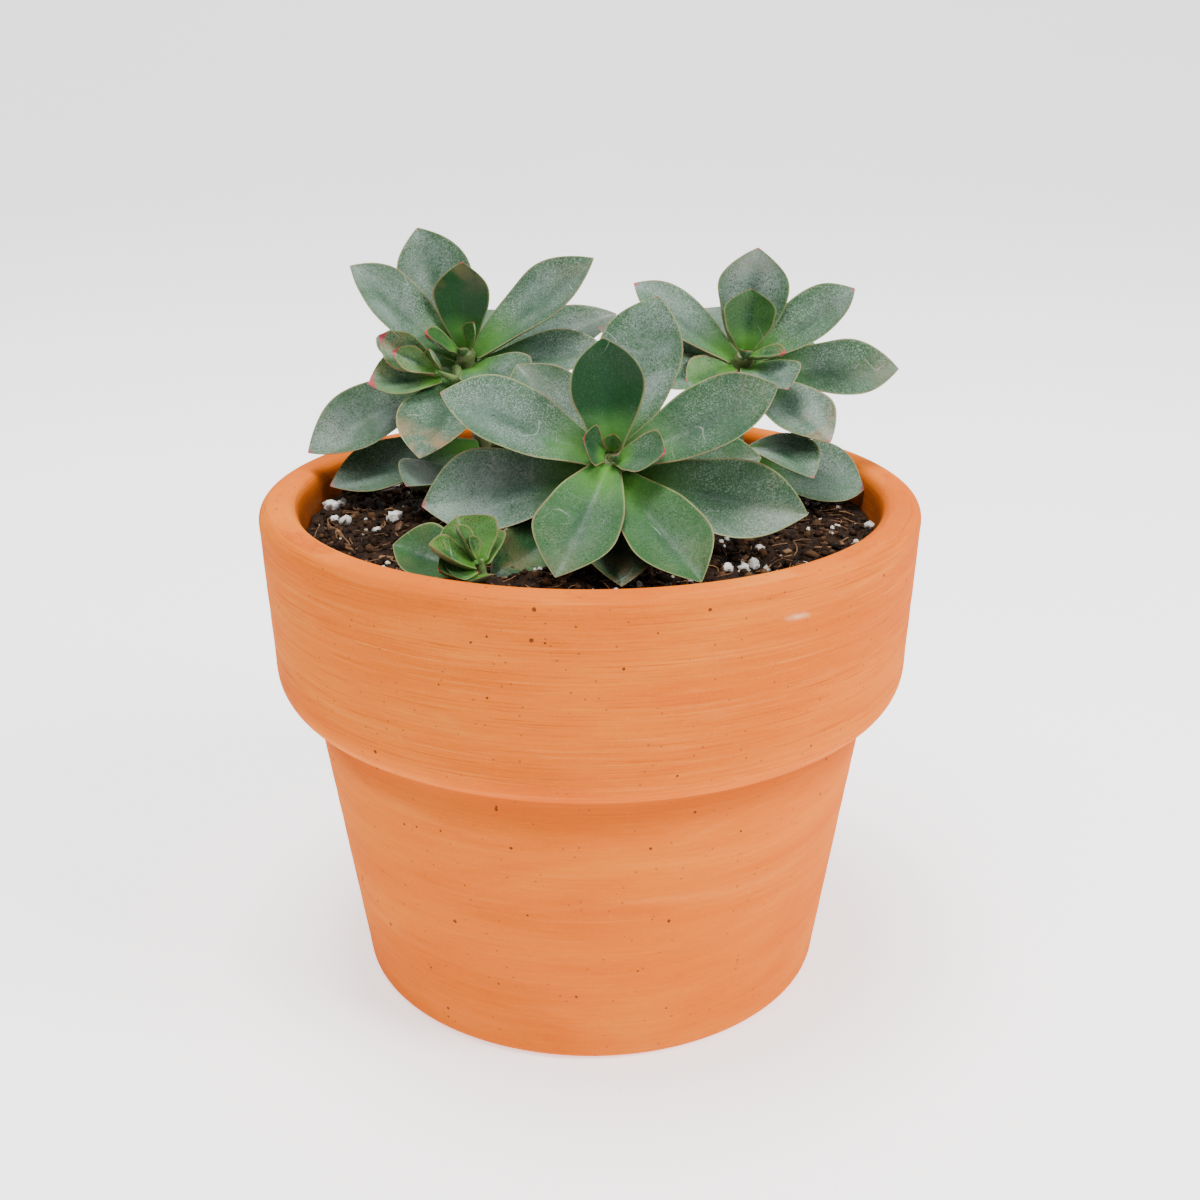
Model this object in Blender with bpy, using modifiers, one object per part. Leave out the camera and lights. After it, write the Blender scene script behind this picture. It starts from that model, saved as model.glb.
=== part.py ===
"""A potted succulent: a clay pot with a deep collar, its soil, and one plant of three leafy rosettes
with a bud on its left stem and a young offset beside it.

Metres, +Z up. The origin is the centre of the pot's foot, on the surface that it stands on.
-Y is the front, which the front rosette leans towards.
"""

from collections import namedtuple
from math import atan2, cos, radians, sin

import bmesh
import bpy
from mathutils import Matrix, Vector

MM = 0.001
GAP = 0.3 * MM  # between two pieces that touch
MERGE_DISTANCE = 0.05 * MM
STRAIGHT = 1e-6  # curl of a leaf that isn't bent, in radians

# Pot: a six-inch azalea pot, three quarters as high as it is wide
RIM_RADIUS = 78 * MM
POT_HEIGHT = 0.775 * 2 * RIM_RADIUS
WALL = 9.2 * MM
LIP_ROUNDING = 3.2 * MM
COLLAR_FOOT_RADIUS = 76.4 * MM
COLLAR_FOOT_Z = 73 * MM
COLLAR_ROUNDING = 9.4 * MM
SHOULDER_RADIUS = 68 * MM
FOOT_RADIUS = 58 * MM
FOOT_ROUNDING = 3 * MM
FLOOR = 9 * MM
DRAIN_RADIUS = 7.5 * MM
POT_SIDES = 56

# Soil
SOIL_Z = 113 * MM
SOIL_CROWN = 1.5 * MM  # how much higher the soil is in the middle
SOIL_SWELL = 0.75  # share of that height halfway to the edge
SOCKET_SIDES = 16

# Plant
STEM_BURIED = 8 * MM
TAPER_LENGTH = 6  # of a stem's top, in the units of a leaf's drop
TIP_SHARE = 0.2  # radius at the crown
LEAF_GAP = 0.8 * MM  # between a leaf's base and its stem

Material = namedtuple("Material", "colour roughness")
MATERIALS = {
    "terracotta": Material((0.78, 0.37, 0.16), 0.85),
    "soil": Material((0.035, 0.02, 0.012), 0.95),
    "leaf": Material((0.16, 0.27, 0.19), 0.5),
    "young_leaf": Material((0.17, 0.36, 0.10), 0.45),
    "stem": Material((0.25, 0.27, 0.14), 0.6),
}

# heading: degrees round the rosette's axis, 0 towards +X and 90 towards the back. rise: degrees above
# the rosette's plane at the leaf's base. curl: how far it bends up (down if negative) from base to tip.
# roll: turn about its own length. drop: how far down the stem it grows. Lengths in millimetres.
Leaf = namedtuple("Leaf", "heading rise length width curl roll drop")

# crown: the stem's top. lean: its tilt in degrees, towards lean_heading. root: where it leaves the soil,
# or where it leaves another stem if its height is given too.
Shoot = namedtuple("Shoot", "crown lean lean_heading root stem_radius leaves")

FRONT_LEAVES = [
    Leaf(74, 20, 38, 19, 14, 0, 4.4),
    Leaf(97, 40, 25, 16, 12, 0, 0.5),
    Leaf(165, 12, 38, 18, 8, 0, 1.9),
    Leaf(-169, -7, 39, 20, 4, -9, 4.8),
    Leaf(-109, 9, 34, 18, -4, 0, 1.0),
    Leaf(-62, 14, 37, 17.5, -4, 0, 4.0),
    Leaf(-17, 5, 41, 18, 2, 14, 6.2),
    Leaf(16, 18, 38, 18, 10, 0, 2.2),
    Leaf(-20, 30, 13, 10, 10, 0, 0.4),
    Leaf(178, 42, 8.5, 8, 30, -6, 0.4),
    Leaf(10, 3, 31, 17, 4, 0, 10),
    Leaf(-86, 13, 29, 18, 0, -6, 9.0),
    Leaf(-133, 13, 34, 13, -4, -10, 13.6),
    Leaf(125, 0, 34, 17, 6, 0, 8.0),
]

LEFT_LEAVES = [
    Leaf(112, 35, 33.5, 18.5, 12, 0, 4.6),
    Leaf(163, 41, 34.5, 15.5, 10, -5, 2.0),
    Leaf(86, 52, 21, 13, 8, 0, 0),
    Leaf(26, 20, 38, 16, 10, 0, 2.2),
    Leaf(21, 4, 37, 15, 4, 0, 7.5),
    Leaf(-7, 11, 33, 15, 2, 0, 5.0),
    Leaf(-56, 30, 26, 17, -6, 0, 3.4),
    Leaf(-104, 16, 35, 18, -6, 0, 5.5),
    Leaf(-153, -4, 41, 17, -8, -8, 7.0),
    Leaf(-164, 48, 12, 6, 6, 0, 0),
    Leaf(150, 2, 24, 12, 0, 0, 8.0),
    Leaf(70, -15, 34, 16, -10, 0, 8.5),
    Leaf(112, -16, 34, 16, -8, 0, 11.5),
]

RIGHT_LEAVES = [
    Leaf(84, 42, 27, 17, 10, 0, 4.4),
    Leaf(152, 18, 31, 14, 6, 0, 3.2),
    Leaf(88, 50, 15, 11, 8, 0, 0),
    Leaf(25, 27, 30, 14.5, 4, 0, 2.6),
    Leaf(3, -1, 36, 16, 2, 10, 4.6),
    Leaf(-55, 15, 30, 16, -10, 0, 5.8),
    Leaf(-62, 34, 18, 13, -16, 0, 2.6),
    Leaf(-32, 40, 11, 4.5, -8, 0, 0),
    Leaf(-160, 14, 24, 13, 0, 0, 6.0),
    Leaf(165, 8, 34, 14, 2, 0, 8.0),
    Leaf(100, -14, 34, 16, -8, 0, 8.0),
    Leaf(45, -18, 34, 16, -8, 0, 9.0),
]

# Old leaves low on the left and right stems, near the soil
LOW_LEFT_LEAVES = [
    Leaf(-170, -6, 38, 17, -6, -24, 0),
    Leaf(-120, 20, 30, 18, -8, -10, 7.0),
    Leaf(-8, 30, 32, 16, 0, 0, 0),
]

LOW_RIGHT_LEAVES = [
    Leaf(-10, 0, 30, 19, -14, 28, 3.0),
    Leaf(-56, 40, 26, 15, -70, 10, 0),
]

BUD_LEAVES = [
    Leaf(178, 40, 18, 12, 22, 0, 2.6),
    Leaf(116, 50, 17, 8, 20, 0, 1.4),
    Leaf(134, 70, 12, 5, 8, 0, 0.2),
]

OFFSET_LEAVES = [
    Leaf(164, 8, 18, 13, 14, -22, 3.4),
    Leaf(128, 48, 11, 11, 6, -6, 2.0),
    Leaf(-160, 30, 12, 6.6, 14, -16, 1.7),
    Leaf(170, 58, 8.5, 4.4, 10, 0, 0.2),
    Leaf(92, 24, 10, 8, 6, 0, 2.6),
]

SHOOTS = {
    "front": Shoot((4.5, -28, 136), 38, -88, (2, -6), 3.0, FRONT_LEAVES),
    "left": Shoot((-31, 24, 149), 34, -95, (-24, 16), 3.0, LEFT_LEAVES),
    "right": Shoot((38, 20, 149), 34, -85, (34, 14), 3.0, RIGHT_LEAVES),
    "low_left": Shoot((-26, 17, 126), 5, -120, None, 3.0, LOW_LEFT_LEAVES),
    "low_right": Shoot((36, 14, 126), 8, -60, None, 3.0, LOW_RIGHT_LEAVES),
    "bud": Shoot((-37, 15, 146), 60, -140, (-33, 22.5, 145.2), 1.2, BUD_LEAVES),
    "offset": Shoot((-22.5, -52.5, 120.8), 8, -90, (-22.5, -51.5), 1.8, OFFSET_LEAVES),
}

# Shape of every leaf, as shares of its length or width
LEAF_WIDEST = 0.66  # how far along it is widest
SHOULDER_POWER = 1.9  # of the outline from the widest place to the tip: a higher power is blunter
LEAF_BASE_SHARE = 0.34  # width at the base
LEAF_THICKNESS = 0.085  # of its length
TIP_THINNING = 0.45  # how much thinner the leaf is at its tip
LEAF_FOLD = 0.22  # how much the margins stand above the midrib, of the half width
FOLD_POWER = 1.5  # of the fold from the midrib to a margin: a higher power is flatter in the middle
LEAF_BELLY = 0.72  # share of the thickness that is below the margins
YOUNG_LENGTH = 26  # shorter leaves are young ones, of a brighter green
POLE_REACH = 1e-6  # of the leaf's length
LEAF_SIDES = 8
LEAF_RINGS = 8


def outline(along):
    """Width of a leaf at a share of its length, from 0 to 1: narrow base, broad shoulder, pointed tip."""
    if along < LEAF_WIDEST:
        t = along / LEAF_WIDEST
        return LEAF_BASE_SHARE + (1 - LEAF_BASE_SHARE) * (3 - 2 * t) * t * t
    t = (along - LEAF_WIDEST) / (1 - LEAF_WIDEST)
    return 1 - t**SHOULDER_POWER


def leaf_point(along, turn, leaf):
    """A point on a leaf's surface, in its own frame: +Y from base to tip and +Z out of its upper face."""
    half_width = leaf.width * MM / 2 * outline(along)
    thickness = leaf.length * MM * LEAF_THICKNESS * (1 - TIP_THINNING * along**2)
    across = half_width * cos(turn)
    share = (1 - LEAF_BELLY) if sin(turn) > 0 else LEAF_BELLY
    height = share * thickness * sin(turn) + LEAF_FOLD * half_width * abs(cos(turn)) ** FOLD_POWER
    bend = radians(leaf.curl) or STRAIGHT
    radius = leaf.length * MM / bend
    angle = bend * along
    return Vector((across, (radius - height) * sin(angle), radius - (radius - height) * cos(angle)))


def leaf_mesh(name, leaf):
    """A sphere with its poles at the leaf's base and tip, drawn out into the leaf."""
    bm = bmesh.new()
    bmesh.ops.create_uvsphere(bm, u_segments=LEAF_SIDES, v_segments=LEAF_RINGS, radius=1)
    for vert in bm.verts:
        along = (vert.co.z + 1) / 2
        is_pole = min(along, 1 - along) < POLE_REACH
        turn = atan2(vert.co.y, vert.co.x)
        vert.co = leaf_point(along, turn, leaf)
        if is_pole:
            vert.co = pole_point(along, leaf)
    if bm.calc_volume(signed=True) < 0:
        bmesh.ops.reverse_faces(bm, faces=bm.faces)
    mesh = bpy.data.meshes.new(name)
    bm.to_mesh(mesh)
    bm.free()
    mesh.shade_smooth()
    return mesh


def pole_point(along, leaf):
    """The leaf's base or tip, on its midline."""
    bend = radians(leaf.curl) or STRAIGHT
    radius = leaf.length * MM / bend
    return Vector((0, radius * sin(bend * along), radius * (1 - cos(bend * along))))


def clear_scene():
    for obj in list(bpy.data.objects):
        bpy.data.objects.remove(obj)


def new_collection(name):
    collection = bpy.data.collections.new(name)
    bpy.context.scene.collection.children.link(collection)
    return collection


def new_material(name, finish):
    material = bpy.data.materials.new(name)
    material.use_nodes = True
    shader = material.node_tree.nodes["Principled BSDF"]
    shader.inputs["Base Color"].default_value = (*finish.colour, 1)
    shader.inputs["Roughness"].default_value = finish.roughness
    shader.inputs["Metallic"].default_value = 0
    return material


def add_object(name, data, material, collection):
    obj = bpy.data.objects.new(name, data)
    if material is not None:
        data.materials.append(material)
    collection.objects.link(obj)
    return obj


def arc_points(centre, radii, start, end, count):
    """Points on a quarter or other arc of an ellipse in the XZ plane, angles in degrees."""
    points = []
    for i in range(count + 1):
        angle = radians(start + (end - start) * i / count)
        points.append((centre[0] + radii[0] * cos(angle), centre[1] + radii[1] * sin(angle)))
    return points


def turned(name, profile, closed, material, collection):
    """A profile of (radius, height) points turned round the Z axis."""
    bm = bmesh.new()
    verts = [bm.verts.new((x, 0, z)) for x, z in profile]
    pairs = list(zip(verts, verts[1:]))
    if closed:
        pairs.append((verts[-1], verts[0]))
    for pair in pairs:
        bm.edges.new(pair)
    mesh = bpy.data.meshes.new(name)
    bm.to_mesh(mesh)
    bm.free()
    obj = add_object(name, mesh, material, collection)
    screw = obj.modifiers.new("Turn", "SCREW")
    screw.steps = screw.render_steps = POT_SIDES
    screw.use_merge_vertices = True
    screw.merge_threshold = MERGE_DISTANCE
    return obj


def inner_radius(z):
    """Radius of the pot's inside at a height: a straight taper from the lip to the floor."""
    top = RIM_RADIUS - WALL
    bottom = FOOT_RADIUS - WALL
    return bottom + (top - bottom) * (z - FLOOR) / (POT_HEIGHT - FLOOR)


def make_pot(material, collection):
    lip = LIP_ROUNDING
    shoulder = arc_points(
        (SHOULDER_RADIUS, COLLAR_FOOT_Z + COLLAR_ROUNDING),
        (COLLAR_FOOT_RADIUS - SHOULDER_RADIUS, COLLAR_ROUNDING), 0, -90, 4)
    profile = [
        *arc_points((RIM_RADIUS - lip, POT_HEIGHT - lip), (lip, lip), 90, 0, 3),
        *shoulder,
        *arc_points((FOOT_RADIUS - FOOT_ROUNDING, FOOT_ROUNDING), (FOOT_ROUNDING, FOOT_ROUNDING), 0, -90, 2),
        (DRAIN_RADIUS, 0),
        (DRAIN_RADIUS, FLOOR),
        (inner_radius(FLOOR), FLOOR),
        *arc_points((inner_radius(POT_HEIGHT) + lip, POT_HEIGHT - lip), (lip, lip), 180, 90, 3),
    ]
    return turned("pot", profile, True, material, collection)


def grows_from_soil(shoot):
    return shoot.root is not None and len(shoot.root) == 2


def make_soil(material, collection, cutters):
    """The soil, with a socket round the buried foot of every stem that grows out of it."""
    bottom = FLOOR + GAP
    edge = inner_radius(SOIL_Z) - GAP
    profile = [
        (0, SOIL_Z + SOIL_CROWN),
        (edge / 2, SOIL_Z + SOIL_CROWN * SOIL_SWELL),
        (edge, SOIL_Z),
        (inner_radius(bottom) - GAP, bottom),
        (0, bottom),
    ]
    soil = turned("soil", profile, False, material, collection)
    for name, shoot in SHOOTS.items():
        if grows_from_soil(shoot):
            socket = soil.modifiers.new(f"{name} socket", "BOOLEAN")
            socket.object = make_socket_cutter(f"{name}_socket", shoot, cutters)
    return soil


def make_socket_cutter(name, shoot, cutters):
    """An upright cylinder, a gap wider and deeper than the stem's buried foot."""
    radius = shoot.stem_radius * MM + GAP
    depth = 2 * (STEM_BURIED + GAP)
    bm = bmesh.new()
    bmesh.ops.create_cone(bm, cap_ends=True, segments=SOCKET_SIDES, radius1=radius, radius2=radius, depth=depth)
    mesh = bpy.data.meshes.new(name)
    bm.to_mesh(mesh)
    bm.free()
    cutter = add_object(name, mesh, None, cutters)
    cutter.location = (shoot.root[0] * MM, shoot.root[1] * MM, SOIL_Z)
    cutter.hide_render = True
    cutter.display_type = "WIRE"
    return cutter


def stem_radius_at(shoot, drop):
    """The stem's radius this far below its crown: it tapers over its last few millimetres."""
    share = min(1, drop / TAPER_LENGTH)
    return shoot.stem_radius * MM * (TIP_SHARE + (1 - TIP_SHARE) * share)


def axis_matrix(shoot):
    """The rosette's frame: its origin at the crown and +Z along the stem, tilted by its lean."""
    turn = Matrix.Rotation(radians(shoot.lean_heading), 4, "Z")
    tilt = Matrix.Rotation(radians(shoot.lean), 4, "Y")
    return Matrix.Translation(Vector(shoot.crown) * MM) @ turn @ tilt @ turn.inverted()


def stem_stations(shoot):
    """Places, directions, handle lengths and radii along a stem, from its root to its tapered tip."""
    crown = Vector(shoot.crown) * MM
    up = Vector((0, 0, 1))
    axis = axis_matrix(shoot).to_3x3() @ up
    taper = TAPER_LENGTH * MM
    neck = crown - axis * taper
    tip = (crown, axis, taper / 3, TIP_SHARE)
    if not grows_from_soil(shoot):
        root = Vector(shoot.root) * MM
        rise = neck - root
        return [(root, rise.normalized(), rise.length / 3, 1), (neck, axis, taper / 3, 1), tip]
    root = Vector((shoot.root[0] * MM, shoot.root[1] * MM, SOIL_Z - STEM_BURIED))
    collar = root + up * (STEM_BURIED + SOIL_CROWN)
    reach = (neck - collar).length / 3
    return [(root, up, STEM_BURIED / 3, 1), (collar, up, reach, 1), (neck, axis, reach, 1), tip]


def make_stem(name, shoot, material, collection):
    curve = bpy.data.curves.new(name, "CURVE")
    curve.dimensions = "3D"
    curve.resolution_u = 3
    curve.bevel_depth = shoot.stem_radius * MM
    curve.bevel_resolution = 2
    curve.use_fill_caps = True
    spline = curve.splines.new("BEZIER")
    stations = stem_stations(shoot)
    spline.bezier_points.add(len(stations) - 1)
    for point, (place, direction, handle, radius) in zip(spline.bezier_points, stations):
        point.co = place
        point.handle_left = place - direction * handle
        point.handle_right = place + direction * handle
        point.radius = radius
    return add_object(name, curve, material, collection)


def make_rosette(name, shoot, grown, young, collection):
    """The rosette's leaves, each turned to its heading and rise and set down the stem by its drop."""
    for number, leaf in enumerate(shoot.leaves, start=1):
        leaf_name = f"{name}_leaf_{number:02d}"
        material = young if leaf.length < YOUNG_LENGTH else grown
        obj = add_object(leaf_name, leaf_mesh(leaf_name, leaf), material, collection)
        obj.matrix_world = (
            axis_matrix(shoot)
            @ Matrix.Rotation(radians(leaf.heading - 90), 4, "Z")
            @ Matrix.Translation((0, stem_radius_at(shoot, leaf.drop) + LEAF_GAP, -leaf.drop * MM))
            @ Matrix.Rotation(radians(leaf.rise), 4, "X")
            @ Matrix.Rotation(radians(leaf.roll), 4, "Y")
        )


def main():
    clear_scene()
    collection = new_collection("potted_succulent")
    cutters = new_collection("cutters")
    finishes = {name: new_material(name, finish) for name, finish in MATERIALS.items()}
    make_pot(finishes["terracotta"], collection)
    make_soil(finishes["soil"], collection, cutters)
    for name, shoot in SHOOTS.items():
        make_rosette(name, shoot, finishes["leaf"], finishes["young_leaf"], collection)
        if shoot.root is not None:
            make_stem(f"{name}_stem", shoot, finishes["stem"], collection)


main()
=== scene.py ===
"""The looks of a potted succulent: a turned clay pot, its soil and one plant of three leafy rosettes.

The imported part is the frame. Every leaf, stem, the soil and the pot get a finer piece that stands for them.
Metres, +Z up, the front towards -Y.
"""

from collections import namedtuple
from math import cos, hypot, pi, radians, sin

import bpy
import numpy as np
from mathutils import Euler, Matrix, Vector, noise


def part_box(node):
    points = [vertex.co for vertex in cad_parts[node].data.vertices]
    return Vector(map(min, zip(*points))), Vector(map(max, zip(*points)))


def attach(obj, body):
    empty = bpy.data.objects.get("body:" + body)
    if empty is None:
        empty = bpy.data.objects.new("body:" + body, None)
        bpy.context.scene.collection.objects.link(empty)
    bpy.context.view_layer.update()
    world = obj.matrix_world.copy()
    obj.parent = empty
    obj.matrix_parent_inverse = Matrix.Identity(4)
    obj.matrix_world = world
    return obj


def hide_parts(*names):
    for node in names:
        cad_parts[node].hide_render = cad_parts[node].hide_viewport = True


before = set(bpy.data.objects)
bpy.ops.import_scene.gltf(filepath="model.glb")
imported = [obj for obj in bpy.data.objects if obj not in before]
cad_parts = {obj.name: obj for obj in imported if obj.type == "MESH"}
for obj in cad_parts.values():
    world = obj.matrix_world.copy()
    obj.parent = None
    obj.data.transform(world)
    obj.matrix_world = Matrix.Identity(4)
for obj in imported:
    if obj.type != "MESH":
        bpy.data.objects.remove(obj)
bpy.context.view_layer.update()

MM = 0.001
GAP = 0.3 * MM
SAME_PLACE = 1e-6  # points this near to each other count as one
SAME_RING = 0.01 * MM

# ---------------------------------------------------------------- the part's own sizes

_, pot_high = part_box("pot")
RIM_RADIUS = pot_high.x
POT_HEIGHT = pot_high.z
WALL = 9.2 * MM
LIP_ROUNDING = 3.2 * MM
COLLAR_FOOT_RADIUS = 76.4 * MM
COLLAR_FOOT_Z = 73 * MM
COLLAR_ROUNDING = 9.4 * MM
SHOULDER_RADIUS = 68 * MM
FOOT_RADIUS = 58 * MM
FOOT_ROUNDING = 3 * MM
FLOOR = 9 * MM
DRAIN_RADIUS = 7.5 * MM

SOIL_Z = 113 * MM
SOIL_CROWN = 1.5 * MM
STEM_BURIED = 8 * MM
TAPER_LENGTH = 6
TIP_SHARE = 0.2
LEAF_GAP = 0.8 * MM

# heading: degrees round the rosette's axis, 0 towards +X and 90 towards the back. rise: degrees above
# the rosette's plane at the leaf's base. curl: how far it bends up (down if negative) from base to tip.
# roll: turn about its own length. drop: how far down the stem it grows. Lengths in millimetres.
Leaf = namedtuple("Leaf", "heading rise length width curl roll drop")

# crown: the stem's top. lean: its tilt in degrees, towards lean_heading. root: where it leaves the soil,
# or where it leaves another stem if its height is given too.
Shoot = namedtuple("Shoot", "crown lean lean_heading root stem_radius leaves")

FRONT_LEAVES = [
    Leaf(74, 20, 38, 19, 14, 0, 4.4),
    Leaf(97, 40, 25, 16, 12, 0, 0.5),
    Leaf(165, 12, 38, 18, 8, 0, 1.9),
    Leaf(-169, -7, 39, 20, 4, -9, 4.8),
    Leaf(-109, 9, 34, 18, -4, 0, 1.0),
    Leaf(-62, 14, 37, 17.5, -4, 0, 4.0),
    Leaf(-17, 5, 41, 18, 2, 14, 6.2),
    Leaf(16, 18, 38, 18, 10, 0, 2.2),
    Leaf(-20, 30, 13, 10, 10, 0, 0.4),
    Leaf(178, 42, 8.5, 8, 30, -6, 0.4),
    Leaf(10, 3, 31, 17, 4, 0, 10),
    Leaf(-86, 13, 29, 18, 0, -6, 9.0),
    Leaf(-133, 13, 34, 13, -4, -10, 13.6),
    Leaf(125, 0, 34, 17, 6, 0, 8.0),
]

LEFT_LEAVES = [
    Leaf(112, 35, 33.5, 18.5, 12, 0, 4.6),
    Leaf(163, 41, 34.5, 15.5, 10, -5, 2.0),
    Leaf(86, 52, 21, 13, 8, 0, 0),
    Leaf(26, 20, 38, 16, 10, 0, 2.2),
    Leaf(21, 4, 37, 15, 4, 0, 7.5),
    Leaf(-7, 11, 33, 15, 2, 0, 5.0),
    Leaf(-56, 30, 26, 17, -6, 0, 3.4),
    Leaf(-104, 16, 35, 18, -6, 0, 5.5),
    Leaf(-153, -4, 41, 17, -8, -8, 7.0),
    Leaf(-164, 48, 12, 6, 6, 0, 0),
    Leaf(150, 2, 24, 12, 0, 0, 8.0),
    Leaf(70, -15, 34, 16, -10, 0, 8.5),
    Leaf(112, -16, 34, 16, -8, 0, 11.5),
]

RIGHT_LEAVES = [
    Leaf(84, 42, 27, 17, 10, 0, 4.4),
    Leaf(152, 18, 31, 14, 6, 0, 3.2),
    Leaf(88, 50, 15, 11, 8, 0, 0),
    Leaf(25, 27, 30, 14.5, 4, 0, 2.6),
    Leaf(3, -1, 36, 16, 2, 10, 4.6),
    Leaf(-55, 15, 30, 16, -10, 0, 5.8),
    Leaf(-62, 34, 18, 13, -16, 0, 2.6),
    Leaf(-32, 40, 11, 4.5, -8, 0, 0),
    Leaf(-160, 14, 24, 13, 0, 0, 6.0),
    Leaf(165, 8, 34, 14, 2, 0, 8.0),
    Leaf(100, -14, 34, 16, -8, 0, 8.0),
    Leaf(45, -18, 34, 16, -8, 0, 9.0),
]

# Old leaves low on the left and right stems, near the soil
LOW_LEFT_LEAVES = [
    Leaf(-170, -6, 38, 17, -6, -24, 0),
    Leaf(-120, 20, 30, 18, -8, -10, 7.0),
    Leaf(-8, 30, 32, 16, 0, 0, 0),
]

LOW_RIGHT_LEAVES = [
    Leaf(-10, 0, 30, 19, -14, 28, 3.0),
    Leaf(-56, 40, 26, 15, -70, 10, 0),
]

BUD_LEAVES = [
    Leaf(178, 40, 18, 12, 22, 0, 2.6),
    Leaf(116, 50, 17, 8, 20, 0, 1.4),
    Leaf(134, 70, 12, 5, 8, 0, 0.2),
]

OFFSET_LEAVES = [
    Leaf(164, 8, 18, 13, 14, -22, 3.4),
    Leaf(128, 48, 11, 11, 6, -6, 2.0),
    Leaf(-160, 30, 12, 6.6, 14, -16, 1.7),
    Leaf(170, 58, 8.5, 4.4, 10, 0, 0.2),
    Leaf(92, 24, 10, 8, 6, 0, 2.6),
]

SHOOTS = {
    "front": Shoot((4.5, -28, 136), 38, -88, (2, -6), 3.0, FRONT_LEAVES),
    "left": Shoot((-31, 24, 149), 34, -95, (-24, 16), 3.0, LEFT_LEAVES),
    "right": Shoot((38, 20, 149), 34, -85, (34, 14), 3.0, RIGHT_LEAVES),
    "low_left": Shoot((-26, 17, 126), 5, -120, None, 3.0, LOW_LEFT_LEAVES),
    "low_right": Shoot((36, 14, 126), 8, -60, None, 3.0, LOW_RIGHT_LEAVES),
    "bud": Shoot((-37, 15, 146), 60, -140, (-33, 22.5, 145.2), 1.2, BUD_LEAVES),
    "offset": Shoot((-22.5, -52.5, 120.8), 8, -90, (-22.5, -51.5), 1.8, OFFSET_LEAVES),
}

# The smallest leaves, still folded round each rosette's growing point
HEARTS = {
    "front": [Leaf(80, 62, 5, 3.6, 26, 0, 0), Leaf(-60, 66, 3.6, 2.6, 20, 0, 0)],
    "left": [Leaf(40, 66, 8, 4, 14, 0, 0), Leaf(-100, 62, 4, 2.6, 16, 0, 0)],
    "right": [Leaf(-100, 58, 5, 3, 16, 0, 0), Leaf(-150, 2, 14, 9, 4, 0, 3.4)],
    "bud": [Leaf(30, 56, 6, 4, 14, 0, 0)],
    "offset": [
        Leaf(150, 66, 5, 3, 12, 0, 0),
        Leaf(-150, 6, 9, 8, 22, -20, 2.2),
        Leaf(-112, 0, 8, 9, 30, 0, 3.0),
    ],
}

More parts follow.
